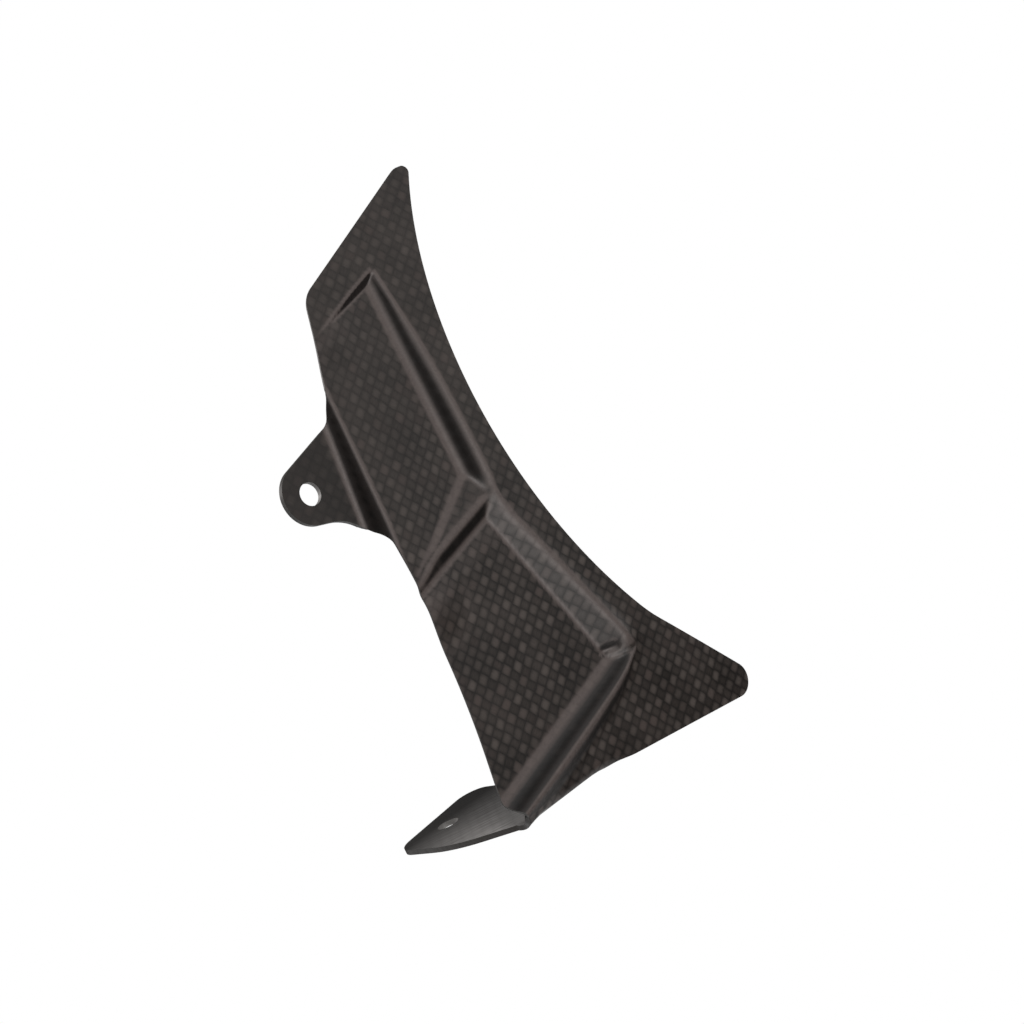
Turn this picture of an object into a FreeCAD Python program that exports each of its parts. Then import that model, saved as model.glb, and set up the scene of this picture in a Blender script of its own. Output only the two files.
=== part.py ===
import FreeCAD, Part
import math
import os
from FreeCAD import Rotation, Vector

# Sprocket cover: one moulded carbon-laminate shell, in millimetres.
# X runs to the right, Y inward, Z up. The origin is the centre of the lug hole, on the lug's outer face.
# Heights are measured outward from the lug's face, so a point at height h lies at Y = -h.

# Laminate
skin = 1.3

# Bowed panel: a shallow cylinder about an axis along X
bow_radius = 600.0
bow_height = 6.0
bow_centre_z = -45.0

# Trimmed outline: the corners of its straight edges, each rounded by its own radius
tip_x = 78.2
tip_z = 64.4
tip_radius = 2.0
hollow_edge_x = 30.9
hollow_edge_z = -0.2
hollow_edge_radius = 110.0
lower_edge_x = 67.1
lower_edge_z = -64.6
lower_edge_radius = 40.0
right_x = 93.2
right_z = -97.2
right_radius = 4.4
bottom_break_x = 30.0
bottom_break_radius = 20.0
left_low_x = 2.4
left_low_z = -82.0
left_flare_x = 7.8
left_flare_z = -58.0
left_flare_radius = 200.0
left_waist_x = 10.5
left_waist_z = -25.0
left_waist_radius = 100.0
shoulder_x = 24.9
shoulder_z = 40.5
shoulder_radius = 9.0
trim_radius = 2.0

# Lug, its round end about the hole, and its step down from the panel
lug_radius = 7.7
lug_hole = 5.5
lug_upper_angle = 18.5
lug_lower_angle = 13.2
lug_root_top_x = 12.8
lug_root_top_radius = 4.0
lug_root_low_x = 10.6
lug_root_low_radius = 8.0
step_top_x = 12.6
step_top_z = 13.5
step_low_x = 9.2
step_low_z = -10.8
step_slope = 65.0
step_foot_radius = 1.5

# Upper pocket: a floor that sinks to the right, an end wall, a side wall and a ramp
upper_x = 22.0
upper_z = 33.0
upper_height = 0.75
upper_fall_x = 0.093
upper_fall_z = 0.055
side_top_x = 45.1
side_top_z = 37.6
side_low_x = 40.9
side_low_z = -11.0
side_slope = 52.0
end_left_x = 26.7
end_left_z = 32.5
end_slope = 40.0
ramp_foot_x = 39.0
ramp_foot_z = -14.6
upper_foot_radius = 1.6

# Rim between the two pockets
rim_right_x = 42.5
rim_right_z = -20.3
rim_right_height = 5.0
rim_left_x = 13.3
rim_left_z = -28.6
rim_left_height = 4.9

# Rounding of the long rims over the upper pocket, the lug step and the ridge between the pockets
rim_radius = 1.0

# Lower pocket: a level floor, a wall under the rim, a broad bevel and a steep lower wall
floor_height = 3.8
under_rim_x = 41.4
under_rim_z = -25.0
bevel_top_x = 38.8
bevel_top_z = -28.5
bevel_low_x = 48.6
bevel_low_z = -63.9
bevel_slope = 25.0
lower_right_x = 47.7
lower_right_z = -70.0
lower_left_x = 5.2
lower_left_z = -81.7
lower_slope = 63.0
lower_foot_radius = 3.0

# Raised rib along the bevel and the lower wall
rib_top_z = -24.0
rib_top_height = 5.2
rib_low_z = -64.0
rib_low_height = 7.4
rib_right_x = 55.9
rib_start_x = 44.2
rib_slope = 35.0
rib_corner_z = -71.2
rib_end_x = 3.5
rib_end_z = -86.2
rib_under_slope = 50.0
rib_corner_radius = 7.0
rib_edge_radius = 1.4
rib_edge_least = 0.15

# Tab bent back from the bottom edge
tab_z = -89.2
tab_lean = 5.0
tab_bend_radius = 2.2
tab_front_x = 5.0
tab_left_x = -3.2
tab_flare_depth = 14.0
tab_flare_radius = 12.0
tab_left_depth = 36.0
tab_right_x = 28.5
tab_right_depth = 42.5
tab_corner_radius = 5.0
tab_hole = 5.5
tab_hole_x = 9.1
tab_hole_depth = 29.7

# The largest part of an outline's edge that its two rounded corners may take
edge_share = 0.98

# How near an edge lies to a facet that it belongs to
touch = 1e-4

# Room around the part for the solids that are cut to shape
reach = 400.0
front = -30.0
back = 70.0


def at(x, z, height):
    return Vector(x, -height, z)


def bow(z):
    return bow_height - bow_radius + math.sqrt(bow_radius ** 2 - (z - bow_centre_z) ** 2)


def upper_floor(x, z):
    return upper_height - upper_fall_x * (x - upper_x) - upper_fall_z * (z - upper_z)


def rib_height(z):
    rise = (rib_low_height - rib_top_height) / (rib_low_z - rib_top_z)
    return rib_top_height + rise * (z - rib_top_z)


def facet(a, b, c):
    # A flat surface through three points, as a point and its outward normal.
    normal = (b - a).cross(c - a)
    normal.normalize()
    return (a, -normal if normal.y > 0 else normal)


def level(height):
    return facet(at(0, 0, height), at(1, 0, height), at(0, 1, height))


def wall(a, b, slope):
    # A flat wall over the line a-b that rises to the left of the way from a to b, seen from outside.
    along = b - a
    along.normalize()
    outward = Vector(0, -1, 0)
    uphill = outward.cross(along)
    uphill.normalize()
    angle = math.radians(slope)
    return facet(a, b, a + uphill * math.cos(angle) + outward * math.sin(angle))


def half_space(plane, depth, material):
    # Everything on the material side of a facet, or on its open side, with the facet set in by depth.
    point, normal = plane
    box = Part.makeBox(2 * reach, 2 * reach, reach, Vector(-reach, -reach, 0))
    turn = Rotation(Vector(0, 0, 1), -normal if material else normal)
    box.Placement = FreeCAD.Placement(point - normal * depth, turn)
    return box


def block():
    return Part.makeBox(reach, back - front, reach, Vector(-reach / 2, front, -reach / 2))


def middle_of(edge):
    return edge.valueAt((edge.FirstParameter + edge.LastParameter) / 2)


def lies_on(edge, plane, depth):
    point, normal = plane
    return abs((middle_of(edge) - point).dot(normal) + depth) < touch


def lies_on_block(edge):
    # Whether an edge lies on the outside of the block, far from the part.
    middle = middle_of(edge)
    return max(abs(middle.x), abs(middle.z)) > reach / 2 - touch


def lies_on_bow(edge):
    middle = middle_of(edge)
    distance = math.hypot(middle.y + bow_height - bow_radius, middle.z - bow_centre_z)
    return abs(distance - bow_radius) < touch


def edges_between(body, planes, depth):
    # The edges where two of the facets meet.
    return [edge for edge in body.Edges if sum(lies_on(edge, plane, depth) for plane in planes) > 1]


def hollow(planes, depth, radius):
    # The open space over a set of facets, with rounded feet.
    body = block()
    for plane in planes:
        body = body.common(half_space(plane, depth, False))
    return body.makeFillet(radius + depth, edges_between(body, planes, depth))


def bowed_block(depth):
    axis_start = Vector(-reach / 2, bow_radius - bow_height, bow_centre_z)
    return Part.makeCylinder(bow_radius - depth, reach, axis_start, Vector(1, 0, 0)).common(block())


def rib(depth):
    top = facet(at(0, rib_top_z, rib_top_height), at(1, rib_top_z, rib_top_height),
                at(0, rib_low_z, rib_low_height))
    corner = at(rib_right_x, rib_low_z, rib_low_height)
    right = wall(corner, at(rib_start_x, rib_top_z, rib_top_height), rib_slope)
    under = wall(at(rib_end_x, rib_end_z, rib_height(rib_end_z)),
                 at(rib_right_x, rib_corner_z, rib_height(rib_corner_z)), rib_under_slope)
    body = block()
    for plane in (top, right, under):
        body = body.common(half_space(plane, depth, True))
    body = body.makeFillet(rib_corner_radius - depth, edges_between(body, [right, under], depth))
    crest = [edge for edge in body.Edges if lies_on(edge, top, depth) and not lies_on_block(edge)]
    body = body.makeFillet(max(rib_edge_radius - depth, rib_edge_least), crest)
    rim_line = wall(at(rim_right_x, rim_right_z, rim_right_height),
                    at(rim_left_x, rim_left_z, rim_left_height), rib_under_slope)
    return body.common(half_space(rim_line, depth, True))


def upper_planes():
    # The upper pocket's floor, side wall, end wall and ramp.
    floor = facet(at(0, 0, upper_floor(0, 0)), at(1, 0, upper_floor(1, 0)), at(0, 1, upper_floor(0, 1)))
    side_top = at(side_top_x, side_top_z, upper_floor(side_top_x, side_top_z))
    side_low = at(side_low_x, side_low_z, upper_floor(side_low_x, side_low_z))
    end_left = at(end_left_x, end_left_z, upper_floor(end_left_x, end_left_z))
    ramp_foot = at(ramp_foot_x, ramp_foot_z, upper_floor(ramp_foot_x, ramp_foot_z))
    return [
        floor,
        wall(side_top, side_low, side_slope),
        wall(end_left, side_top, end_slope),
        facet(at(rim_right_x, rim_right_z, rim_right_height),
              at(rim_left_x, rim_left_z, rim_left_height), ramp_foot),
    ]


def lower_planes():
    # The lower pocket's floor, wall under the rim, bevel and lower wall.
    return [
        level(floor_height),
        facet(at(rim_right_x, rim_right_z, rim_right_height),
              at(rim_left_x, rim_left_z, rim_left_height), at(under_rim_x, under_rim_z, floor_height)),
        wall(at(bevel_top_x, bevel_top_z, floor_height),
             at(bevel_low_x, bevel_low_z, floor_height), bevel_slope),
        wall(at(lower_right_x, lower_right_z, floor_height),
             at(lower_left_x, lower_left_z, floor_height), lower_slope),
    ]


def step_planes():
    # The lug's face and the step up to the panel.
    return [level(0), wall(at(step_top_x, step_top_z, 0), at(step_low_x, step_low_z, 0), step_slope)]


def solid_under(depth):
    # All that lies behind the panel's outer surface, or behind its inner surface at depth skin.
    body = bowed_block(depth).fuse(rib(depth))
    body = body.cut(hollow(upper_planes(), depth, upper_foot_radius))
    body = body.cut(hollow(lower_planes(), depth, lower_foot_radius))
    return body.cut(hollow(step_planes(), depth, step_foot_radius))


def long_rims(body):
    # Where the upper pocket's walls and the lug step meet the bowed panel, and the ridge between the pockets.
    side, end, ramp = upper_planes()[1:]
    under_rim = lower_planes()[1]
    step = step_planes()[1]
    rims = edges_between(body, [ramp, under_rim], 0)
    for edge in body.Edges:
        if lies_on_bow(edge) and any(lies_on(edge, plane, 0) for plane in (side, end, step)):
            rims.append(edge)
    return rims


def rounded_corner(before, corner, after, setback):
    # Start, middle and end of the arc that rounds a corner and begins at a setback from it.
    to_before = before - corner
    to_after = after - corner
    half_angle = to_before.getAngle(to_after) / 2
    radius = setback * math.tan(half_angle)
    to_before.normalize()
    to_after.normalize()
    middle = to_before + to_after
    middle.normalize()
    arc_middle = corner + middle * (radius / math.sin(half_angle) - radius)
    return corner + to_before * setback, arc_middle, corner + to_after * setback


def rounded_polygon(corners):
    # A closed outline of straight edges and rounded corners, from (point, radius) pairs.
    # Two corners that would overlap on their common edge are both made smaller.
    count = len(corners)
    points = [point for point, radius in corners]
    after = points[1:] + points[:1]
    before = points[-1:] + points[:-1]
    setbacks = []
    for i in range(count):
        angle = (before[i] - points[i]).getAngle(after[i] - points[i])
        setbacks.append(corners[i][1] / math.tan(angle / 2))
    shares = [1.0] * count
    for i in range(count):
        share = edge_share * (after[i] - points[i]).Length / (setbacks[i] + setbacks[(i + 1) % count])
        shares[i] = min(shares[i], share)
        shares[(i + 1) % count] = min(shares[(i + 1) % count], share)
    arcs = []
    for i in range(count):
        arcs.append(rounded_corner(before[i], points[i], after[i], setbacks[i] * shares[i]))
    edges = []
    for i in range(count):
        start, middle, end = arcs[i]
        edges.append(Part.Arc(start, middle, end).toShape())
        edges.append(Part.LineSegment(end, arcs[(i + 1) % count][0]).toShape())
    return Part.Wire(edges)


def lug_corners():
    # The lug's two straight edges touch the round end, which is the rounded corner where they would meet.
    upper = math.radians(lug_upper_angle)
    lower = math.radians(lug_lower_angle)
    root_low_z = -(lug_radius + lug_root_low_x * math.sin(lower)) / math.cos(lower)
    root_top_z = (lug_radius + lug_root_top_x * math.sin(upper)) / math.cos(upper)
    reach_left = lug_radius * (math.cos(lower) + math.cos(upper)) / math.sin(upper + lower)
    point_z = (lug_radius - reach_left * math.sin(upper)) / math.cos(upper)
    return [
        (lug_root_low_x, root_low_z, lug_root_low_radius),
        (-reach_left, point_z, lug_radius),
        (lug_root_top_x, root_top_z, lug_root_top_radius),
    ]


def panel_prism():
    corners = [
        (tip_x, tip_z, tip_radius),
        (hollow_edge_x, hollow_edge_z, hollow_edge_radius),
        (lower_edge_x, lower_edge_z, lower_edge_radius),
        (right_x, right_z, right_radius),
        (bottom_break_x, tab_z, bottom_break_radius),
        (tab_front_x, tab_z, trim_radius),
        (left_low_x, left_low_z, trim_radius),
        (left_flare_x, left_flare_z, left_flare_radius),
        (left_waist_x, left_waist_z, left_waist_radius),
    ]
    corners += lug_corners()
    corners.append((shoulder_x, shoulder_z, shoulder_radius))
    outline = rounded_polygon([(Vector(x, front, z), radius) for x, z, radius in corners])
    return Part.Face(outline).extrude(Vector(0, back - front, 0))


def panel():
    outside = solid_under(0).common(panel_prism())
    outside = outside.makeFillet(rim_radius, long_rims(outside))
    return outside.cut(solid_under(skin))


def tab_normal():
    lean = math.radians(tab_lean)
    return Vector(0, -math.sin(lean), math.cos(lean))


def bent_block(depth):
    # All that lies behind the bowed panel and above the tab's lower face, with a rounded fold.
    plane = (at(0, tab_z, bow(tab_z)), -tab_normal())
    body = bowed_block(depth).common(half_space(plane, depth, True))
    fold = min(body.Edges, key=lambda edge: edge.CenterOfMass.z * reach + edge.CenterOfMass.y)
    return body.makeFillet(tab_bend_radius - depth, [fold])


def fold_corner():
    # What the round fold leaves off the panel's bottom edge, over the tab's width.
    width = Part.makeBox(reach, back - front, reach, Vector(tab_right_x - reach, front, -reach / 2))
    return bowed_block(0).cut(bent_block(0)).common(width)


def tab_prism():
    corners = [
        (tab_front_x, front, trim_radius),
        (tab_front_x, -bow(tab_z), trim_radius),
        (tab_left_x, tab_flare_depth, tab_flare_radius),
        (tab_left_x, tab_left_depth, tab_corner_radius),
        (tab_right_x, tab_right_depth, tab_corner_radius),
        (tab_right_x, front, trim_radius),
    ]
    low = tab_z - tab_bend_radius
    outline = rounded_polygon([(Vector(x, y, low), radius) for x, y, radius in corners])
    rise = tab_right_depth * math.tan(math.radians(tab_lean)) + 2 * tab_bend_radius
    return Part.Face(outline).extrude(Vector(0, 0, rise))


def tab():
    return bent_block(0).common(tab_prism()).cut(bent_block(skin))


def lug_bore():
    return Part.makeCylinder(lug_hole / 2, back - front, Vector(0, front, 0), Vector(0, 1, 0))


def tab_bore():
    seat = tab_z + (tab_hole_depth + bow(tab_z)) * math.tan(math.radians(tab_lean))
    length = 4 * tab_bend_radius
    start = Vector(tab_hole_x, tab_hole_depth, seat) - tab_normal() * (length / 2)
    return Part.makeCylinder(tab_hole / 2, length, start, tab_normal())


def sprocket_cover():
    body = panel().cut(fold_corner()).fuse(tab()).removeSplitter()
    return body.cut(lug_bore()).cut(tab_bore())


os.makedirs("parts", exist_ok=True)
cover = sprocket_cover()
cover.exportStep("parts/sprocket_cover.step")
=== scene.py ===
import bpy
import bmesh
import math
import numpy as np
from mathutils import Matrix, Vector


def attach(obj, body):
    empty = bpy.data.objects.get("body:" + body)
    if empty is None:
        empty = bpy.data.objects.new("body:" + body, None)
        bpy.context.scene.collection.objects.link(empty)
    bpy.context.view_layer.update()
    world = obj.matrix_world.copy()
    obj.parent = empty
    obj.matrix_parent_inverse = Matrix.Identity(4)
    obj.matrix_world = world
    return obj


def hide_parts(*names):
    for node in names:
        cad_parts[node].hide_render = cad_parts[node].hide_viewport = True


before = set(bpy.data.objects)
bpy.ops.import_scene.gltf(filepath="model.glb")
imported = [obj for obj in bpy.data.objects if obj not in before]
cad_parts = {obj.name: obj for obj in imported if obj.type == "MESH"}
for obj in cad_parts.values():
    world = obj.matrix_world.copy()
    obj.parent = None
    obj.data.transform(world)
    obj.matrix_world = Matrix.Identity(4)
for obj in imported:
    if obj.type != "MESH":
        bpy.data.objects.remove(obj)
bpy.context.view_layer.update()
mm = 0.001

# Sprocket cover: one woven laminate shell. Sizes in millimetres, in the CAD frame:
# X to the right, Y inward, Z up. Heights are measured outward, towards -Y.
shell = {
    "name": "sprocketCoverShell",
    "skin": 1.3,
    "cell": 0.5,
    "bowRadius": 600.0,
    "bowHeight": 6.0,
    "bowCentreZ": -45.0,
    "edgeSkin": 0.45,
    "edgeRings": 3,
    "fullSkinNear": (15.0, 22.0),
    "fullSkinRise": 3.0,
    "mergeShare": 0.3,
    "smoothTurns": 4,
    "smoothFactor": 0.5,
}

# Corners of the trimmed outline: x, z and the radius that rounds each one
outline = {
    "rightSide": [
        (70.3, 60.85, 6.0),
        (75.6, 60.85, 1.45),
        (30.9, -0.2, 110.0),
        (67.1, -64.6, 40.0),
        (93.2, -97.2, 4.4),
        (36.0, -89.9, 12.0),
    ],
    "leftSide": [
        (2.4, -82.0, 2.0),
        (7.8, -58.0, 200.0),
        (10.5, -25.0, 100.0),
    ],
    "shoulder": (24.9, 40.5, 9.0),
    "lugRadius": 7.2,
    "lugUpperAngle": 18.5,
    "lugLowerAngle": 13.2,
    "lugRootTop": (12.8, 4.0),
    "lugRootLow": (10.6, 12.0),
    "lugHole": 5.5,
    "holeReach": 0.6,
    "arcStep": 0.25,
}

# Tab bent back from the bottom edge: x and depth of its corners
tab = {
    "z": -89.2,
    "lean": 5.0,
    "bendRadius": 2.2,
    "frontX": 5.0,
    "frontRadius": 2.0,
    "leftX": -3.2,
    "flareDepth": 14.0,
    "flareRadius": 38.0,
    "leftDepth": 36.0,
    "rightX": 28.5,
    "rightDepth": 42.5,
    "leftRadius": 6.5,
    "rightRadius": 5.4,
    "rootDrop": 2.8,
    "rootRadius": 4.0,
    "rootBlend": 15.0,
    "hole": 5.5,
    "holeX": 9.1,
    "holeDepth": 29.7,
}

# Pockets and rib: the points of their flats, the wall slopes, the radius of each foot,
# and how much height each rim gives up to its rounding
relief = {
    "stepTop": (13.5, 13.5),
    "stepLow": (9.6, -10.8),
    "stepSlope": 67.0,
    "stepFoot": 2.4,
    "stepRimZ": (-24.0, -14.0),
    "stepRim": (0.3, 3.4),
    "upperAt": (22.0, 33.0, 0.75),
    "upperFall": (0.093, 0.055),
    "sideTop": (44.5, 37.6),
    "sideLow": (40.0, -11.0),
    "sideSlope": 46.0,
    "sideFoot": 4.0,
    "endLeft": (26.7, 32.5),
    "endSlope": 46.0,
    "endFoot": 0.8,
    "rampFoot": (39.1, -12.9),
    "rampFootRadius": 5.0,
    "upperRimZ": (22.0, 32.0),
    "upperRim": (1.4, 0.5),
    "upperFade": (25.0, 33.0, 0.55, 14.0),
    "lowerFade": (10.5, -34.0, 1.3, 13.0),
    "rimRight": (42.5, -19.2, 5.0),
    "rimLeft": (13.3, -27.5, 4.9),
    "floor": 3.8,
    "underRim": (41.6, -23.4),
    "underRimFoot": 3.0,
    "apronDip": 0.45,
    "apronLeft": (10.5, -32.0),
    "apronSlope": 7.5,
    "apronBlend": 0.25,
    "bevelTop": (38.8, -28.5),
    "bevelLow": (48.6, -63.9),
    "bevelSlope": 25.0,
    "bevelFoot": 1.0,
    "lowerRight": (47.7, -70.9),
    "lowerLeft": (5.2, -82.6),
    "lowerSlope": 72.0,
    "lowerFoot": 4.2,
    "rimAtZ": (-72.0, -66.0, -45.0, -34.0),
    "lowerRim": (3.6, 0.8, 0.8, 0.7),
    "creaseFrom": (48.8, -66.0),
    "creaseTo": (53.9, -66.9),
    "creaseWidth": 0.8,
    "creaseDepth": 0.7,
    "ribTop": (-24.0, 5.2),
    "ribLow": (-64.0, 7.4),
    "ribRightX": 55.9,
    "ribStartX": 44.2,
    "ribSlope": 35.0,
    "ribCornerZ": -71.2,
    "ribEnd": (3.5, -86.2),
    "ribUnderSlope": 50.0,
    "ribBulge": 1.3,
    "ribBulgeX": (29.5, 26.0),
    "ribCorner": 11.0,
    "ribCrest": 1.4,
    "ribFoot": 1.6,
    "probe": 0.8,
    "bandCurve": 0.20,
    "cornerPower": 4,
    "leastRim": 0.3,
    "pocketFrom": 0.3,
    # how much more a slope that faces down counts towards the painted shade
    "underPaintedShade": 2.2,
}


def softMin(a, b, blend):
    near = np.maximum(blend - np.abs(a - b), 0) / blend
    return np.minimum(a, b) - near * near * blend / 4


def softMax(a, b, blend):
    return -softMin(-a, -b, blend)


def planeOf(point, gx, gz):
    # a flat as its slopes in x and z and its height over the origin
    return gx, gz, point[2] - gx * point[0] - gz * point[1]


def flatThrough(a, b, c):
    # the flat through three (x, z, height) points
    n = (Vector(b) - Vector(a)).cross(Vector(c) - Vector(a))
    return planeOf(a, -n.x / n.z, -n.y / n.z)


def wallOver(a, b, slope):
    # a wall that rises to the left of the way from a to b
    along = Vector((b[0] - a[0], b[1] - a[1]))
    run = along.length
    along.normalize()
    rise = (b[2] - a[2]) / run
    steep = math.tan(math.radians(slope))
    return planeOf(a, along.x * rise - along.y * steep, along.y * rise + along.x * steep)


def heightOf(plane, x, z):
    return plane[2] + plane[0] * x + plane[1] * z


def riseOver(low, wall, radius, x, z):
    # how far a wall stands over a floor, with a round foot
    steep = math.hypot(wall[0] - low[0], wall[1] - low[1])
    angle = math.atan(steep)
    setback = radius * math.tan(angle / 2)
    run = (heightOf(wall, x, z) - heightOf(low, x, z)) / steep
    along = np.clip(run + setback, 0, radius * math.sin(angle))
    foot = radius - np.sqrt(radius ** 2 - along ** 2)
    return np.where(run < setback * math.cos(angle), foot, run * steep)


def sink(height, bottom, rises, rim):
    # sinks a pocket into the panel: a floor, its walls, and a rim no softer than its wall is high
    power = relief["cornerPower"]
    rise = sum(each ** power for each in rises) ** (1 / power)
    soft = np.clip(height - bottom, relief["leastRim"], rim)
    return softMin(height, bottom + rise, soft)


def fade(spot, x, z):
    # a low swell that lets a pocket's end run out at the left edge
    atX, atZ, swell, reach = spot
    near = np.clip(1 - np.hypot(x - atX, z - atZ) / reach, 0, 1)
    return swell * near * near * (3 - 2 * near)


def bow(z):
    r = shell["bowRadius"]
    return shell["bowHeight"] - r + np.sqrt(r * r - (z - shell["bowCentreZ"]) ** 2)


def ribHeight(z):
    (z0, h0), (z1, h1) = relief["ribTop"], relief["ribLow"]
    return h0 + (h1 - h0) * (z - z0) / (z1 - z0)


def ribOver(x, z):
    corner = (relief["ribRightX"], *relief["ribLow"])
    start = (relief["ribStartX"], *relief["ribTop"])
    endX, endZ = relief["ribEnd"]
    lowZ = relief["ribCornerZ"]
    end = (endX, endZ, ribHeight(endZ))
    low = (corner[0], lowZ, ribHeight(lowZ))
    right = wallOver(corner, start, relief["ribSlope"])
    under = wallOver(end, low, relief["ribUnderSlope"])
    rimLine = wallOver(relief["rimRight"], relief["rimLeft"], relief["ribUnderSlope"])
    middleX, halfX = relief["ribBulgeX"]
    bulge = relief["ribBulge"] * np.clip(1 - ((x - middleX) / halfX) ** 2, 0, 1)
    sides = softMin(heightOf(right, x, z), heightOf(under, x, z) + bulge, relief["ribCorner"])
    rib = softMin(ribHeight(z), sides, relief["ribCrest"])
    return softMin(rib, heightOf(rimLine, x, z), relief["ribCrest"])


def upperPocket(height, x, z):
    x0, z0, h0 = relief["upperAt"]
    low = planeOf((x0, z0, h0), -relief["upperFall"][0], -relief["upperFall"][1])
    sideTop, sideLow, endLeft, rampFoot = [
        (*relief[name], heightOf(low, *relief[name]))
        for name in ("sideTop", "sideLow", "endLeft", "rampFoot")]
    side = wallOver(sideTop, sideLow, relief["sideSlope"])
    end = wallOver(endLeft, sideTop, relief["endSlope"])
    ramp = flatThrough(relief["rimRight"], relief["rimLeft"], rampFoot)
    rises = [
        riseOver(low, side, relief["sideFoot"], x, z),
        riseOver(low, end, relief["endFoot"], x, z),
        riseOver(low, ramp, relief["rampFootRadius"], x, z),
    ]
    bottom = heightOf(low, x, z) + fade(relief["upperFade"], x, z)
    rim = np.interp(z, relief["upperRimZ"], relief["upperRim"])
    return sink(height, bottom, rises, rim)


def lowerPocket(height, x, z):
    floor = relief["floor"]
    low = (0.0, 0.0, floor)
    bevelTop, bevelLow, right, left = [
        (*relief[name], floor) for name in ("bevelTop", "bevelLow", "lowerRight", "lowerLeft")]
    dip = floor - relief["apronDip"]
    underRim, apronLeft = (*relief["underRim"], dip), (*relief["apronLeft"], dip)
    apron = wallOver(apronLeft, underRim, -relief["apronSlope"])
    ridge = flatThrough(relief["rimRight"], relief["rimLeft"], underRim)
    bevel = wallOver(bevelTop, bevelLow, relief["bevelSlope"])
    wall = wallOver(right, left, relief["lowerSlope"])
    rises = [
        riseOver(apron, ridge, relief["underRimFoot"], x, z),
        riseOver(low, bevel, relief["bevelFoot"], x, z),
        riseOver(low, wall, relief["lowerFoot"], x, z),
    ]
    bottom = softMin(floor, heightOf(apron, x, z), relief["apronBlend"])
    bottom = bottom + fade(relief["lowerFade"], x, z)
    rim = np.interp(z, relief["rimAtZ"], relief["lowerRim"])
    return sink(height, bottom, rises, rim) - creaseDepth(x, z)


def creaseDepth(x, z):
    # the short crease across the bevel's lower end
    ax, az = relief["creaseFrom"]
    along = Vector(relief["creaseTo"]) - Vector((ax, az))
    length = along.length
    along.normalize()
    t = ((x - ax) * along.x + (z - az) * along.y) / length
    off = ((z - az) * along.x - (x - ax) * along.y) / relief["creaseWidth"]
    ends = np.clip(4 * t * (1 - t), 0, 1) ** 0.5
    return relief["creaseDepth"] * ends * np.exp(-off * off)


def reliefHeight(x, z):
    # outward height of the panel's outer face
    height = softMax(bow(z), ribOver(x, z), relief["ribFoot"])
    height = lowerPocket(upperPocket(height, x, z), x, z)
    step = wallOver((*relief["stepTop"], 0.0), (*relief["stepLow"], 0.0), relief["stepSlope"])
    rises = [riseOver((0.0, 0.0, 0.0), step, relief["stepFoot"], x, z)]
    return sink(height, 0.0, rises, np.interp(z, relief["stepRimZ"], relief["stepRim"]))


def bendsAndWalls(x, z, height):
    # how much each point lies on a foot or a rim, which the material paints pale as a painted
    # highlight, and how steep it stands, which it paints dark as painted shade; a slope that faces
    # down counts for more, so that shade is also painted under the rims
    d = relief["probe"]
    right, left = reliefHeight(x + d, z), reliefHeight(x - d, z)
    up, down = reliefHeight(x, z + d), reliefHeight(x, z - d)
    steep = np.hypot(right - left, up - down) / (2 * d)
    curve = (right + left + up + down - 4 * height) / d ** 2 / (1 + steep ** 2) ** 1.5
    inPocket = np.clip((bow(z) - height) / relief["pocketFrom"], 0, 1)
    under = np.clip(up - down, 0, None) / (2 * d) * inPocket
    bend = np.where(curve > 0, curve * inPocket, -curve) / relief["bandCurve"]
    return np.clip(bend, 0, 1), np.maximum(steep, relief["underPaintedShade"] * under)


def lugCorners():
    # the lug's straight edges touch its round end, the rounded corner where they would meet
    r = outline["lugRadius"]
    up = math.radians(outline["lugUpperAngle"])
    low = math.radians(outline["lugLowerAngle"])
    topX, topRadius = outline["lugRootTop"]
    lowX, lowRadius = outline["lugRootLow"]
    left = r * (math.cos(low) + math.cos(up)) / math.sin(up + low)
    return [
        (lowX, -(r + lowX * math.sin(low)) / math.cos(low), lowRadius),
        (-left, (r - left * math.sin(up)) / math.cos(up), r),
        (topX, (r + topX * math.sin(up)) / math.cos(up), topRadius),
    ]


def foldFacts():
    # the bend in the Y-Z plane: where it starts on the panel, its direction there,
    # its length, and where the flat tab starts
    lean = math.radians(tab["lean"])
    slope = bow(tab["z"] + 1.0) - bow(tab["z"])
    downAngle = math.atan2(-1.0, slope)
    turn = lean - downAngle
    setback = tab["bendRadius"] * math.tan(turn / 2)
    return {
        "startZ": tab["z"] + setback * math.cos(math.atan(slope)),
        "angle": downAngle,
        "length": tab["bendRadius"] * turn,
        "endY": -bow(tab["z"]) + setback * math.cos(lean),
    }


fold = foldFacts()


def patternFromDepth(y):
    # how far down the flat pattern a depth on the tab lies
    run = (y - fold["endY"]) / math.cos(math.radians(tab["lean"]))
    return fold["startZ"] - fold["length"] - run


def patternCorners():
    d = patternFromDepth
    tabCorners = [
        (tab["rightX"], tab["z"] - tab["rootDrop"], tab["rootRadius"]),
        (tab["rightX"], d(tab["rightDepth"]), tab["rightRadius"]),
        (tab["leftX"], d(tab["leftDepth"]), tab["leftRadius"]),
        (tab["leftX"], d(tab["flareDepth"]), tab["flareRadius"]),
        (tab["frontX"], fold["startZ"] - fold["length"] / 2, tab["frontRadius"]),
    ]
    rightSide, leftSide = outline["rightSide"], outline["leftSide"]
    return rightSide + tabCorners + leftSide + lugCorners() + [outline["shoulder"]]


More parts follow.
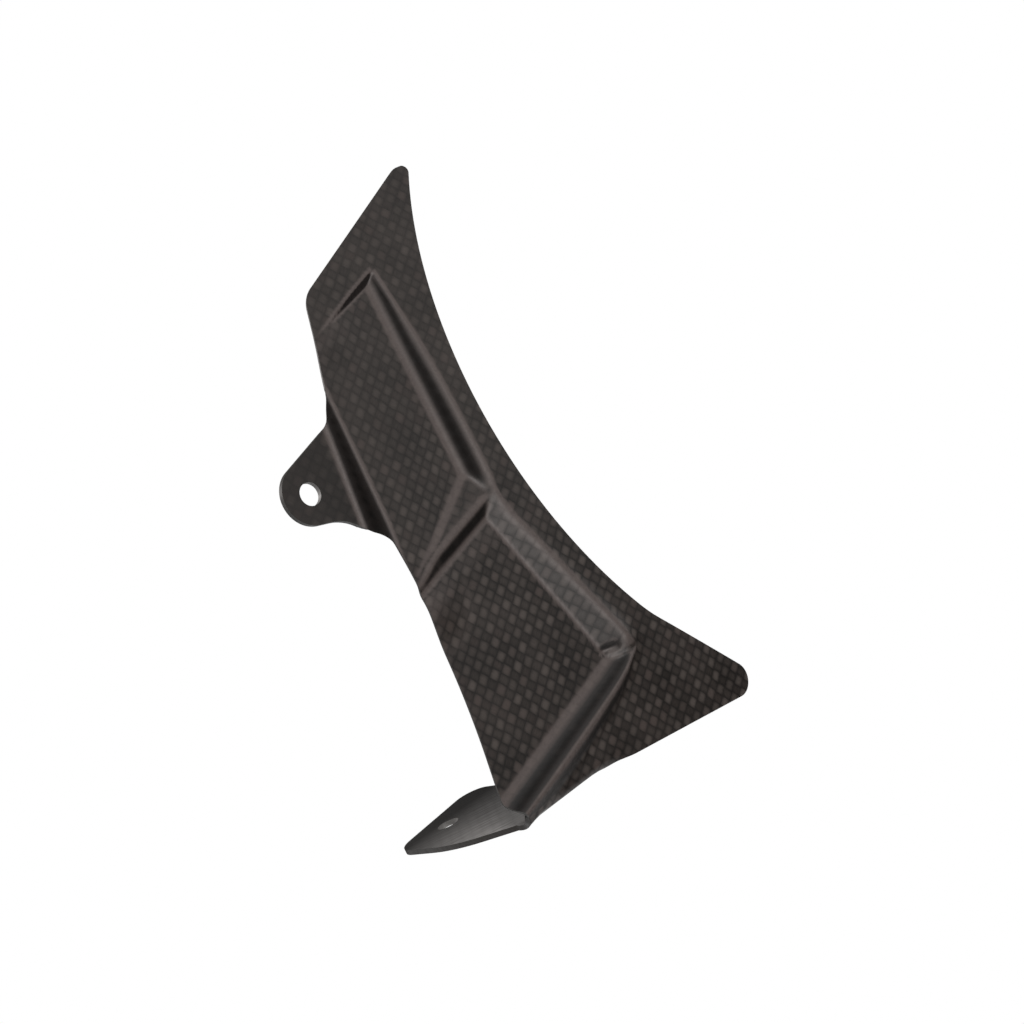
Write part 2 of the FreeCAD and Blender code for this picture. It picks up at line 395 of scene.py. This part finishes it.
def roundedLoop(corners):
    # a closed line of points along straight edges and rounded corners
    line = []
    count = len(corners)
    for i, (x, z, radius) in enumerate(corners):
        here = Vector((x, z))
        back = Vector(corners[i - 1][:2]) - here
        ahead = Vector(corners[(i + 1) % count][:2]) - here
        half = back.angle(ahead) / 2
        back.normalize()
        ahead.normalize()
        setback = radius / math.tan(half)
        centre = here + (back + ahead).normalized() * (radius / math.sin(half))
        first = here + back * setback - centre
        sweep = first.angle_signed(here + ahead * setback - centre)
        steps = max(2, int(abs(sweep) * radius / outline["arcStep"]))
        for k in range(steps + 1):
            line.append(centre + Matrix.Rotation(-sweep * k / steps, 2) @ first)
    return np.array([(p.x, p.y) for p in line])


def circleLoop(x, z, radius):
    steps = int(2 * math.pi * radius / outline["arcStep"])
    angles = np.arange(steps) * (2 * math.pi / steps)
    return np.stack([x + radius * np.cos(angles), z + radius * np.sin(angles)], 1)


def inside(points, loop):
    found = np.zeros(len(points), bool)
    px, pz = points[:, 0], points[:, 1]
    for (ax, az), (bx, bz) in zip(loop, np.roll(loop, -1, 0)):
        if az != bz:
            crosses = (az > pz) != (bz > pz)
            found ^= crosses & (px < ax + (pz - az) * (bx - ax) / (bz - az))
    return found


def nearestOn(point, loop):
    a, b = loop, np.roll(loop, -1, 0)
    ab = b - a
    size = np.maximum((ab * ab).sum(1), 1e-12)
    t = np.clip(((point - a) * ab).sum(1) / size, 0, 1)
    spots = a + ab * t[:, None]
    away = ((spots - point) ** 2).sum(1)
    best = away.argmin()
    return spots[best], away[best]


def onFold(x, s):
    # place and outward direction on the bend and the flat tab, for pattern points below the fold
    run = fold["startZ"] - s
    angle = fold["angle"] + np.clip(run, 0, fold["length"]) / tab["bendRadius"]
    r = tab["bendRadius"]
    startY = -bow(fold["startZ"])
    centreY = startY - r * math.sin(fold["angle"])
    centreZ = fold["startZ"] + r * math.cos(fold["angle"])
    flat = np.maximum(run - fold["length"], 0)
    outY, outZ = np.sin(angle), -np.cos(angle)
    y = centreY + r * outY + flat * np.cos(angle)
    z = centreZ + r * outZ + flat * np.sin(angle)
    return y, z, outY, outZ


def trimToOutline(bm, loops):
    # drops the cells outside the outline or in a hole, then draws the edge onto the line itself
    middles = [f.calc_center_median() for f in bm.faces]
    centres = np.array([(c.x, c.z) for c in middles])
    keep = inside(centres, loops[0])
    for hole in loops[1:]:
        keep &= ~inside(centres, hole)
    dropped = [f for f, kept in zip(bm.faces, keep) if not kept]
    bmesh.ops.delete(bm, geom=dropped, context="FACES")
    rim = [v for v in bm.verts if v.is_boundary]
    for v in rim:
        spots = [nearestOn(np.array((v.co.x, v.co.z)), loop) for loop in loops]
        spot = min(spots, key=lambda s: s[1])[0]
        v.co.x, v.co.z = spot
    bmesh.ops.remove_doubles(bm, verts=rim, dist=shell["cell"] * shell["mergeShare"])
    inner = [v for v in bm.verts if not v.is_boundary]
    for turn in range(shell["smoothTurns"]):
        bmesh.ops.smooth_vert(
            bm, verts=inner, factor=shell["smoothFactor"],
            use_axis_x=True, use_axis_y=False, use_axis_z=True)


def shapeSheet(bm):
    # lifts the flat pattern to the outer face of the shell
    place = bm.verts.layers.float_vector.new("clothPlace")
    bendLayer = bm.verts.layers.float.new("bend")
    steepLayer = bm.verts.layers.float.new("steep")
    verts = list(bm.verts)
    x = np.array([v.co.x for v in verts])
    s = np.array([v.co.z for v in verts])
    height = reliefHeight(x, s)
    bend, steep = bendsAndWalls(x, s, height)
    flat = s < fold["startZ"]
    bend[flat], steep[flat] = 0.0, 0.0
    foldY, foldZ, outY, outZ = onFold(x, s)
    overBow = height - bow(np.maximum(s, tab["z"]))
    raised = np.where(s > tab["z"] - tab["bendRadius"], np.maximum(overBow, 0.0), 0.0)
    away = np.clip((x - tab["rightX"]) / tab["rootBlend"], 0, 1)
    bent = np.where(flat, 1 - away * away * (3 - 2 * away), 0.0)
    y = (1 - bent) * -height + bent * (foldY + outY * raised)
    z = (1 - bent) * s + bent * (foldZ + outZ * raised)
    for i, v in enumerate(verts):
        v[place] = Vector((x[i], s[i], 0)) * mm
        v[bendLayer], v[steepLayer] = bend[i], steep[i]
        v.co = Vector((x[i], y[i], z[i])) * mm


def inHole(spot):
    reach = outline["holeReach"]
    tabHole = Vector((tab["holeX"], patternFromDepth(tab["holeDepth"])))
    inLug = spot.xy.length < outline["lugHole"] * reach
    return inLug or (spot.xy - tabHole).length < tab["hole"] * reach


def edgeThickness(bm):
    # the laminate thins towards the panel's trimmed edge, but not round the lug or on the tab
    place = bm.verts.layers.float_vector["clothPlace"]
    ring = [v for v in bm.verts if v.is_boundary]
    overFold = (fold["startZ"], fold["startZ"] + shell["fullSkinRise"])
    thick = {}
    for turn in range(shell["edgeRings"]):
        share = 1 - turn / shell["edgeRings"]
        for v in ring:
            x, s, _ = v[place] / mm
            thin = np.interp(math.hypot(x, s), shell["fullSkinNear"], (0, 1)) * share
            thin *= np.interp(s, overFold, (0, 1))
            thick[v] = shell["skin"] + (shell["edgeSkin"] - shell["skin"]) * thin
        ring = {e.other_vert(v) for v in ring for e in v.link_edges} - set(thick)
    return thick


def thickenSheet(bm):
    # the inner face lies one skin behind the outer one; the rim closes them
    place = bm.verts.layers.float_vector["clothPlace"]
    depth = bm.verts.layers.float.new("edgeDepth")
    outward = bm.verts.layers.float_vector.new("outward")
    bmesh.ops.recalc_face_normals(bm, faces=bm.faces)
    if sum(f.normal.y * f.calc_area() for f in bm.faces) > 0:
        bmesh.ops.reverse_faces(bm, faces=bm.faces)
    bm.normal_update()
    thick = edgeThickness(bm)
    for v in bm.verts:
        v[outward] = v.normal * thick.get(v, shell["skin"]) * mm
    outer = list(bm.faces)
    made = bmesh.ops.extrude_face_region(bm, geom=outer, use_keep_orig=True)["geom"]
    innerVerts = [g for g in made if isinstance(g, bmesh.types.BMVert)]
    innerFaces = {g for g in made if isinstance(g, bmesh.types.BMFace)}
    for v in innerVerts:
        v.co -= v[outward]
        v[depth] = 1.0
    bm.verts.layers.float_vector.remove(outward)
    outerFaces = set(outer)
    rimFaces = []
    for f in bm.faces:
        if f in outerFaces:
            f.material_index = 0
        elif f in innerFaces:
            f.material_index = 1
        else:
            f.material_index = 3 if inHole(f.verts[0][place] / mm) else 2
            rimFaces.append(f)
    bmesh.ops.recalc_face_normals(bm, faces=bm.faces)
    return rimFaces


def orderFaces(bm, rimFaces):
    # the rim's faces come in any order; by the order of their points each run gives the same mesh
    bm.verts.index_update()
    bm.faces.index_update()
    order = {f: f.index for f in bm.faces}
    for f in rimFaces:
        low, high = sorted(v.index for v in f.verts)[:2]
        order[f] = len(bm.faces) + low * len(bm.verts) + high
    bm.faces.sort(key=lambda f: order[f])


def buildShell():
    loop = roundedLoop(patternCorners())
    holes = [
        circleLoop(0, 0, outline["lugHole"] / 2),
        circleLoop(tab["holeX"], patternFromDepth(tab["holeDepth"]), tab["hole"] / 2),
    ]
    cell = shell["cell"]
    low = np.floor(loop.min(0) / cell - 1) * cell
    high = np.ceil(loop.max(0) / cell + 1) * cell
    count = np.rint((high - low) / cell).astype(int)
    bm = bmesh.new()
    bmesh.ops.create_grid(bm, x_segments=int(count[0]), y_segments=int(count[1]), size=1.0)
    half, middle = (high - low) / 2, (low + high) / 2
    lay = Matrix.Diagonal(Vector((half[0], half[1], 1, 1)))
    stand = Matrix.Rotation(math.radians(90), 4, "X")
    move = Matrix.Translation(Vector((middle[0], 0, middle[1])))
    bmesh.ops.transform(bm, matrix=move @ stand @ lay, verts=bm.verts)
    trimToOutline(bm, [loop] + holes)
    shapeSheet(bm)
    rimFaces = thickenSheet(bm)
    for f in bm.faces:
        f.smooth = True
    for f in rimFaces:
        for e in f.edges:
            if any(other.material_index < 2 for other in e.link_faces):
                e.smooth = False
    orderFaces(bm, rimFaces)
    mesh = bpy.data.meshes.new(shell["name"])
    bm.to_mesh(mesh)
    bm.free()
    piece = bpy.data.objects.new(shell["name"], mesh)
    bpy.context.scene.collection.objects.link(piece)
    print("shell", len(mesh.vertices), "vertices", len(mesh.polygons), "faces")
    return piece


cover = buildShell()
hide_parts("sprocket_cover")
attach(cover, "root")

# Cloth and resin: pitch and bump heights in millimetres, places on the cloth in metres,
# noise scales per tow width and, for the speckle, per metre
noiseMiddle = (0.3, 0.7)
cloth = {
    "pitch": 2.5,
    "turn": 54.0,
    "wobble": 0.22,
    "wobbleScale": 0.35,
    "crownPower": 2.5,
    "crownFall": 0.7,
    "humpPower": 0.9,
    "fibreStretch": (14.0, 1.2),
    "mottleScale": 0.16,
    "warmthShift": 13.7,
    "towLight": (0.050, 0.0425, 0.0385, 1),
    "towDark": (0.0035, 0.0026, 0.0021, 1),
    "towWarm": (0.030, 0.0200, 0.0180, 1),
    # how much darker the warp tows are painted: a painted sheen
    "warpPaintedSheen": 0.5,
    "tintShade": (0.55, 1.0),
    "towTop": 0.9,
    "gapShade": 0.05,
    "fibreShade": 0.10,
    "mottleShade": 0.12,
    "warmFrom": 0.7,
    "warmShare": 0.5,
    # the tows' contrast is painted evener towards the top, as part of the painted sheen
    "evenShade": 0.36,
    "evenFrom": (-0.035, 0.005),
    "evenShare": 0.55,
    # where the lug is painted darker, and how much: painted shade
    "lugX": (0.009, 0.012),
    "lugZ": (-0.016, -0.013),
    "lugPaintedShade": 0.5,
    # pale colour painted on the feet and rims as a painted highlight
    "paintedHighlight": (0.082, 0.068, 0.064, 1),
    "paintedHighlightShare": 0.68,
    "speckleScale": 1500.0,
    "speckle": (0.85, 1.1),
    # near-black colour painted on steep walls and down-facing slopes as painted shade
    "wall": (0.003, 0.0026, 0.0024, 1),
    "paintedShadeFrom": (0.4, 0.85),
    "paintedShadeShare": 0.85,
    "specular": 0.22,
    "roughness": (0.40, 0.33),
    "towHeight": 0.05,
    "towBump": 0.15,
    "resinWave": 0.10,
    "resinBump": 0.5,
}


def addNode(tree, kind, **settings):
    node = tree.nodes.new(kind)
    for key, value in settings.items():
        setattr(node, key, value)
    return node


def feed(tree, socket, value):
    # a plain value is set on the socket, anything else is linked to it
    if isinstance(value, bpy.types.NodeSocket):
        tree.links.new(value, socket)
    else:
        socket.default_value = value


def math2(tree, operation, a, b=None):
    node = addNode(tree, "ShaderNodeMath", operation=operation)
    feed(tree, node.inputs[0], a)
    if b is not None:
        feed(tree, node.inputs[1], b)
    return node.outputs[0]


def vector2(tree, operation, a, b):
    node = addNode(tree, "ShaderNodeVectorMath", operation=operation)
    feed(tree, node.inputs[0], a)
    feed(tree, node.inputs[1], b)
    return node.outputs[0]


def mixColour(tree, factor, a, b):
    node = addNode(tree, "ShaderNodeMix", data_type="RGBA")
    feed(tree, node.inputs["Factor"], factor)
    feed(tree, node.inputs["A"], a)
    feed(tree, node.inputs["B"], b)
    return node.outputs["Result"]


def spread(tree, value, low, high, toLow, toHigh):
    node = addNode(tree, "ShaderNodeMapRange")
    names = ("Value", "From Min", "From Max", "To Min", "To Max")
    for name, entry in zip(names, (value, low, high, toLow, toHigh)):
        feed(tree, node.inputs[name], entry)
    return node.outputs["Result"]


def noise(tree, place, scale, detail, output="Fac"):
    node = addNode(tree, "ShaderNodeTexNoise")
    feed(tree, node.inputs["Vector"], place)
    node.inputs["Scale"].default_value = scale
    node.inputs["Detail"].default_value = detail
    return node.outputs[output]


def oneOf(tree, a, first, b, second):
    # a where first is 1, b where second is 1
    return math2(tree, "ADD", math2(tree, "MULTIPLY", a, first), math2(tree, "MULTIPLY", b, second))


def weaveGroup():
    # plain weave of slightly uneven tows: how high the top tow stands, its tint and its fibres
    group = bpy.data.node_groups.new("plainWeave", "ShaderNodeTree")
    group.interface.new_socket("Place", in_out="INPUT", socket_type="NodeSocketVector")
    for name in ("Height", "Warp", "Tint", "Warmth", "Fibres", "Mottle"):
        group.interface.new_socket(name, in_out="OUTPUT", socket_type="NodeSocketFloat")
    place = addNode(group, "NodeGroupInput").outputs["Place"]
    end = addNode(group, "NodeGroupOutput")
    drift = noise(group, place, cloth["wobbleScale"], 2.0, "Color")
    drift = vector2(group, "SUBTRACT", drift, (0.5, 0.5, 0.5))
    drift = vector2(group, "MULTIPLY", drift, (cloth["wobble"] * 2,) * 3)
    split = addNode(group, "ShaderNodeSeparateXYZ")
    feed(group, split.inputs[0], vector2(group, "ADD", place, drift))
    u, v = split.outputs[0], split.outputs[1]
    iu, iv = math2(group, "FLOOR", u), math2(group, "FLOOR", v)
    fu, fv = math2(group, "FRACT", u), math2(group, "FRACT", v)
    warp = math2(group, "FLOORED_MODULO", math2(group, "ADD", iu, iv), 2.0)
    weft = math2(group, "SUBTRACT", 1.0, warp)
    across = oneOf(group, fu, warp, fv, weft)
    along = oneOf(group, fv, warp, fu, weft)
    off = math2(group, "SUBTRACT", math2(group, "MULTIPLY", across, 2.0), 1.0)
    fall = math2(group, "POWER", math2(group, "ABSOLUTE", off), cloth["crownPower"])
    crown = math2(group, "SUBTRACT", 1.0, math2(group, "MULTIPLY", fall, cloth["crownFall"]))
    arch = math2(group, "SINE", math2(group, "MULTIPLY", along, math.pi))
    hump = math2(group, "POWER", arch, cloth["humpPower"])
    cell = addNode(group, "ShaderNodeCombineXYZ")
    feed(group, cell.inputs[0], iu)
    feed(group, cell.inputs[1], iv)
    tint = addNode(group, "ShaderNodeTexWhiteNoise", noise_dimensions="3D")
    feed(group, tint.inputs["Vector"], cell.outputs[0])
    fine, coarse = cloth["fibreStretch"]
    warpFibres = noise(group, vector2(group, "MULTIPLY", place, (fine, coarse, 1.0)), 1.0, 3.0)
    weftFibres = noise(group, vector2(group, "MULTIPLY", place, (coarse, fine, 1.0)), 1.0, 3.0)
    warmth = math2(group, "MULTIPLY", tint.outputs["Value"], cloth["warmthShift"])
    feed(group, end.inputs["Height"], math2(group, "MULTIPLY", crown, hump))
    feed(group, end.inputs["Warp"], warp)
    feed(group, end.inputs["Tint"], tint.outputs["Value"])
    feed(group, end.inputs["Warmth"], math2(group, "FRACT", warmth))
    feed(group, end.inputs["Fibres"], oneOf(group, warpFibres, warp, weftFibres, weft))
    feed(group, end.inputs["Mottle"], noise(group, place, cloth["mottleScale"], 3.0))
    return group


def clothAt(tree):
    # the flat pattern's own place on each point, in metres
    return addNode(tree, "ShaderNodeAttribute", attribute_name="clothPlace").outputs["Vector"]


def onBias(tree):
    # places in tow widths, turned to the bias of the long side
    turned = addNode(tree, "ShaderNodeMapping")
    turned.inputs["Rotation"].default_value = (0, 0, math.radians(cloth["turn"]))
    turned.inputs["Scale"].default_value = (1 / (cloth["pitch"] * mm),) * 3
    feed(tree, turned.inputs["Vector"], clothAt(tree))
    return turned.outputs["Vector"]


def weaveIn(tree, weave):
    group = addNode(tree, "ShaderNodeGroup", node_tree=weave)
    feed(tree, group.inputs["Place"], onBias(tree))
    return group.outputs


def bumpOf(tree, height, distance, strength, under=None):
    bump = addNode(tree, "ShaderNodeBump")
    bump.inputs["Strength"].default_value = strength
    bump.inputs["Distance"].default_value = distance * mm
    feed(tree, bump.inputs["Height"], height)
    if under is not None:
        feed(tree, bump.inputs["Normal"], under)
    return bump.outputs["Normal"]


def newMaterial(name):
    material = bpy.data.materials.new(name)
    material.use_nodes = True
    return material, material.node_tree, material.node_tree.nodes["Principled BSDF"]


def towShade(tree, tow, up):
    # light and dark tows with dark gaps; the warp tows are painted darker as a painted sheen, and
    # the contrast is painted evener towards the top of the panel
    weft = math2(tree, "SUBTRACT", 1.0, math2(tree, "MULTIPLY", tow["Warp"], cloth["warpPaintedSheen"]))
    shade = math2(tree, "MULTIPLY", weft, spread(tree, tow["Tint"], 0.0, 1.0, *cloth["tintShade"]))
    gaps = spread(tree, tow["Height"], 0.0, cloth["towTop"], cloth["gapShade"], 1.0)
    shade = math2(tree, "MULTIPLY", shade, gaps)
    even = spread(tree, up, *cloth["evenFrom"], 1.0, cloth["evenShare"])
    shade = math2(tree, "SUBTRACT", shade, cloth["evenShade"])
    shade = math2(tree, "ADD", math2(tree, "MULTIPLY", shade, even), cloth["evenShade"])
    for name, most in (("Fibres", cloth["fibreShade"]), ("Mottle", cloth["mottleShade"])):
        shade = math2(tree, "ADD", shade, spread(tree, tow[name], *noiseMiddle, -most, most))
    return shade


def outerMaterial(weave):
    material, tree, shader = newMaterial("satinWeave")
    tow = weaveIn(tree, weave)
    split = addNode(tree, "ShaderNodeSeparateXYZ")
    feed(tree, split.inputs[0], clothAt(tree))
    bend = addNode(tree, "ShaderNodeAttribute", attribute_name="bend").outputs["Fac"]
    steep = addNode(tree, "ShaderNodeAttribute", attribute_name="steep").outputs["Fac"]
    shade = towShade(tree, tow, split.outputs[1])
    colour = mixColour(tree, shade, cloth["towDark"], cloth["towLight"])
    warm = spread(tree, tow["Warmth"], cloth["warmFrom"], 1.0, 0.0, cloth["warmShare"])
    colour = mixColour(tree, math2(tree, "MULTIPLY", warm, shade), colour, cloth["towWarm"])
    # the lug is painted darker: painted shade for the way light falls on it
    leftPart = spread(tree, split.outputs[0], *cloth["lugX"], 1.0, 0.0)
    upperPart = spread(tree, split.outputs[1], *cloth["lugZ"], 0.0, 1.0)
    paintedLugShade = math2(tree, "MULTIPLY", math2(tree, "MULTIPLY", leftPart, upperPart), cloth["lugPaintedShade"])
    colour = mixColour(tree, paintedLugShade, colour, cloth["towDark"])
    speckle = noise(tree, clothAt(tree), cloth["speckleScale"], 2.0)
    speckle = spread(tree, speckle, *noiseMiddle, *cloth["speckle"])
    # the feet and rims are painted pale and speckled: a painted highlight
    paintedHighlight = math2(tree, "MULTIPLY", math2(tree, "MULTIPLY", bend, speckle), cloth["paintedHighlightShare"])
    colour = mixColour(tree, paintedHighlight, colour, cloth["paintedHighlight"])
    # steep walls and slopes that face down are painted near black: painted shade
    wall = spread(tree, steep, *cloth["paintedShadeFrom"], 0.0, cloth["paintedShadeShare"])
    colour = mixColour(tree, wall, colour, cloth["wall"])
    rough = spread(tree, tow["Height"], 0.0, 1.0, *cloth["roughness"])
    waves = bumpOf(tree, tow["Mottle"], cloth["resinWave"], cloth["resinBump"])
    bumps = bumpOf(tree, tow["Height"], cloth["towHeight"], cloth["towBump"], waves)
    feed(tree, shader.inputs["Base Color"], colour)
    feed(tree, shader.inputs["Roughness"], rough)
    feed(tree, shader.inputs["Normal"], bumps)
    shader.inputs["Specular IOR Level"].default_value = cloth["specular"]
    return material


# Bare inner face: peeled resin with fine slanting streaks. Light is painted on it near the bend, so
# it is paler there and darker away from it
innerFace = {
    "pale": (0.30, 0.295, 0.29, 1),
    "dark": (0.018, 0.0175, 0.017, 1),
    # where the painted light near the bend peaks and fades out down the tab, and how bright it is
    # there and on the panel
    "paleFrom": -0.0915,
    "darkFrom": -0.126,
    "paintedLightPeak": 0.85,
    "panelFrom": 0.006,
    "panelGrey": 0.16,
    "streaks": (5.0, 0.25, 1.0),
    "streakDetail": 4.0,
    "streakShade": (0.6, 1.2),
    "gapShade": 0.82,
    "roughness": (0.58, 0.44),
    "streakHeight": 0.04,
    "streakBump": 0.4,
}


def innerMaterial(weave):
    material, tree, shader = newMaterial("greyInnerFace")
    split = addNode(tree, "ShaderNodeSeparateXYZ")
    feed(tree, split.inputs[0], clothAt(tree))
    up = split.outputs[1]
    bendAt = innerFace["paleFrom"]
    # light painted near the bend: paler there, darker down the tab and onto the panel
    paintedBendLight = spread(tree, up, innerFace["darkFrom"], bendAt, 0.0, innerFace["paintedLightPeak"])
    panelAt = bendAt + innerFace["panelFrom"]
    onPanel = spread(tree, up, bendAt, panelAt, 1.0, innerFace["panelGrey"])
    stretched = vector2(tree, "MULTIPLY", onBias(tree), innerFace["streaks"])
    streak = noise(tree, stretched, 1.0, innerFace["streakDetail"])
    gaps = weaveIn(tree, weave)["Height"]
    streaks = spread(tree, streak, *noiseMiddle, *innerFace["streakShade"])
    shade = math2(tree, "MULTIPLY", math2(tree, "MULTIPLY", paintedBendLight, onPanel), streaks)
    shade = math2(tree, "MULTIPLY", shade, spread(tree, gaps, 0.0, 1.0, innerFace["gapShade"], 1.0))
    colour = mixColour(tree, shade, innerFace["dark"], innerFace["pale"])
    rough = spread(tree, streak, *noiseMiddle, *innerFace["roughness"])
    bumps = bumpOf(tree, streak, innerFace["streakHeight"], innerFace["streakBump"])
    feed(tree, shader.inputs["Base Color"], colour)
    feed(tree, shader.inputs["Roughness"], rough)
    feed(tree, shader.inputs["Normal"], bumps)
    shader.inputs["Specular IOR Level"].default_value = cloth["specular"]
    return material


# Trimmed edge: the plies show as fine lines
edgeFace = {
    "dark": (0.012, 0.0115, 0.011, 1),
    "pale": (0.070, 0.066, 0.063, 1),
    "plies": 4.0,
    "fuzzScale": 900.0,
    "fuzzShift": 0.12,
    "fuzzShade": 0.5,
    "roughness": (0.5, 0.36),
}


def edgeMaterial():
    material, tree, shader = newMaterial("trimmedEdge")
    depth = addNode(tree, "ShaderNodeAttribute", attribute_name="edgeDepth").outputs["Fac"]
    fuzz = noise(tree, clothAt(tree), edgeFace["fuzzScale"], 3.0)
    shifted = math2(tree, "ADD", depth, math2(tree, "MULTIPLY", fuzz, edgeFace["fuzzShift"]))
    line = math2(tree, "PINGPONG", math2(tree, "MULTIPLY", shifted, edgeFace["plies"]), 0.5)
    shade = math2(tree, "ADD", line, math2(tree, "MULTIPLY", fuzz, edgeFace["fuzzShade"]))
    colour = mixColour(tree, shade, edgeFace["dark"], edgeFace["pale"])
    rough = spread(tree, fuzz, *noiseMiddle, *edgeFace["roughness"])
    feed(tree, shader.inputs["Base Color"], colour)
    feed(tree, shader.inputs["Roughness"], rough)
    shader.inputs["Specular IOR Level"].default_value = cloth["specular"]
    return material


# Drilled holes: bare pale resin
drilled = {
    "colour": (0.24, 0.235, 0.23, 1),
    "roughness": 0.5,
    "fuzzScale": 1200.0,
}


def drilledMaterial():
    material, tree, shader = newMaterial("drilledHole")
    fuzz = noise(tree, clothAt(tree), drilled["fuzzScale"], 3.0)
    colour = mixColour(tree, fuzz, edgeFace["pale"], drilled["colour"])
    feed(tree, shader.inputs["Base Color"], colour)
    shader.inputs["Roughness"].default_value = drilled["roughness"]
    return material


weave = weaveGroup()
for material in (outerMaterial(weave), innerMaterial(weave), edgeMaterial(), drilledMaterial()):
    cover.data.materials.append(material)
print("materials", len(cover.data.materials))

# Camera at the photograph's angle
view = {
    "position": (-240.11, -351.33, -3.34),
    "right": (0.66319, -0.57648, -0.47734),
    "up": (0.39774, -0.26882, 0.87724),
    "back": (-0.63403, -0.77162, 0.05101),
    "lens": 66.8,
    "sensor": 36.0,
    "clipStart": 0.01,
}


def addCamera():
    data = bpy.data.cameras.new("photoCamera")
    data.lens = view["lens"]
    data.sensor_width = view["sensor"]
    data.clip_start = view["clipStart"]
    camera = bpy.data.objects.new("photoCamera", data)
    bpy.context.scene.collection.objects.link(camera)
    turn = Matrix((view["right"], view["up"], view["back"])).transposed()
    camera.matrix_world = Matrix.Translation(Vector(view["position"]) * mm) @ turn.to_4x4()
    bpy.context.scene.camera = camera


# Soft studio light from above, the front and behind, dark flags that the steep walls mirror,
# and a pale floor. Places in metres: name, place, size and, for a lamp, its power.
studio = {
    "centre": (0.035, 0.0, -0.02),
    "floorZ": -0.30,
    "floorRadius": 0.22,
    "floorSides": 96,
    "floorColour": (0.92, 0.92, 0.92, 1),
    "stageRoughness": 0.8,
    "white": (1, 1, 1, 1),
    "worldLight": 0.28,
    "lampColour": (1.0, 0.96, 0.94),
    "lamps": [
        ("keySoftbox", (-0.15, -0.75, 0.75), 0.50, 8.0),
        ("frontSoftbox", (0.00, -1.00, -0.14), 0.50, 5.0),
        ("backSoftbox", (-0.50, 0.75, 0.70), 0.50, 9.0),
    ],
    "flagColour": (0.002, 0.002, 0.002, 1),
    "flags": [
        ("leftFlag", (-1.30, -0.50, 0.0), 1.0),
        ("backFlag", (0.60, 1.30, 0.50), 1.5),
        ("lowFlag", (0.90, -0.70, -0.70), 0.55),
        ("rightFlag", (1.00, 0.15, -0.75), 0.65),
    ],
}


def facing(place):
    # stands at a place and looks at the object's middle
    back = Vector(place) - Vector(studio["centre"])
    return Matrix.Translation(place) @ back.to_track_quat("Z", "Y").to_matrix().to_4x4()


def addLamp(name, place, size, power):
    data = bpy.data.lights.new(name, "AREA")
    data.size = size
    data.energy = power
    data.color = studio["lampColour"]
    lamp = bpy.data.objects.new(name, data)
    lamp.matrix_world = facing(place)
    lamp.visible_camera = False
    bpy.context.scene.collection.objects.link(lamp)


def addStage(bm, name, colour):
    mesh = bpy.data.meshes.new(name)
    bm.to_mesh(mesh)
    bm.free()
    piece = bpy.data.objects.new(name, mesh)
    bpy.context.scene.collection.objects.link(piece)
    material, tree, shader = newMaterial(name + "Finish")
    shader.inputs["Base Color"].default_value = colour
    shader.inputs["Roughness"].default_value = studio["stageRoughness"]
    mesh.materials.append(material)
    return piece


def addFloor():
    bm = bmesh.new()
    bmesh.ops.create_circle(
        bm, cap_ends=True, segments=studio["floorSides"], radius=studio["floorRadius"])
    x, y, _ = studio["centre"]
    bmesh.ops.translate(bm, vec=(x, y, studio["floorZ"]), verts=bm.verts)
    addStage(bm, "floor", studio["floorColour"])


def addFlag(name, place, size):
    # a dark card that only the reflections see
    bm = bmesh.new()
    bmesh.ops.create_grid(bm, x_segments=1, y_segments=1, size=size)
    bmesh.ops.transform(bm, matrix=facing(place), verts=bm.verts)
    flag = addStage(bm, name, studio["flagColour"])
    flag.visible_camera = False
    flag.visible_diffuse = False
    flag.visible_transmission = False
    flag.visible_shadow = False


def setWorld():
    world = bpy.data.worlds.new("studio")
    bpy.context.scene.world = world
    world.use_nodes = True
    tree = world.node_tree
    plain = tree.nodes["Background"]
    plain.inputs["Color"].default_value = studio["white"]
    plain.inputs["Strength"].default_value = studio["worldLight"]
    white = addNode(tree, "ShaderNodeBackground")
    white.inputs["Strength"].default_value = 1.0
    white.inputs["Color"].default_value = studio["white"]
    path = addNode(tree, "ShaderNodeLightPath").outputs
    seen = math2(tree, "MAXIMUM", path["Is Camera Ray"], path["Is Transmission Ray"])
    seen = math2(tree, "MAXIMUM", seen, path["Is Glossy Ray"])
    mix = addNode(tree, "ShaderNodeMixShader")
    feed(tree, mix.inputs["Fac"], seen)
    feed(tree, mix.inputs[1], plain.outputs[0])
    feed(tree, mix.inputs[2], white.outputs[0])
    feed(tree, tree.nodes["World Output"].inputs["Surface"], mix.outputs[0])


addCamera()
for lamp in studio["lamps"]:
    addLamp(*lamp)
for flag in studio["flags"]:
    addFlag(*flag)
addFloor()
setWorld()
bpy.context.scene.view_settings.view_transform = "Standard"
print("studio ready")
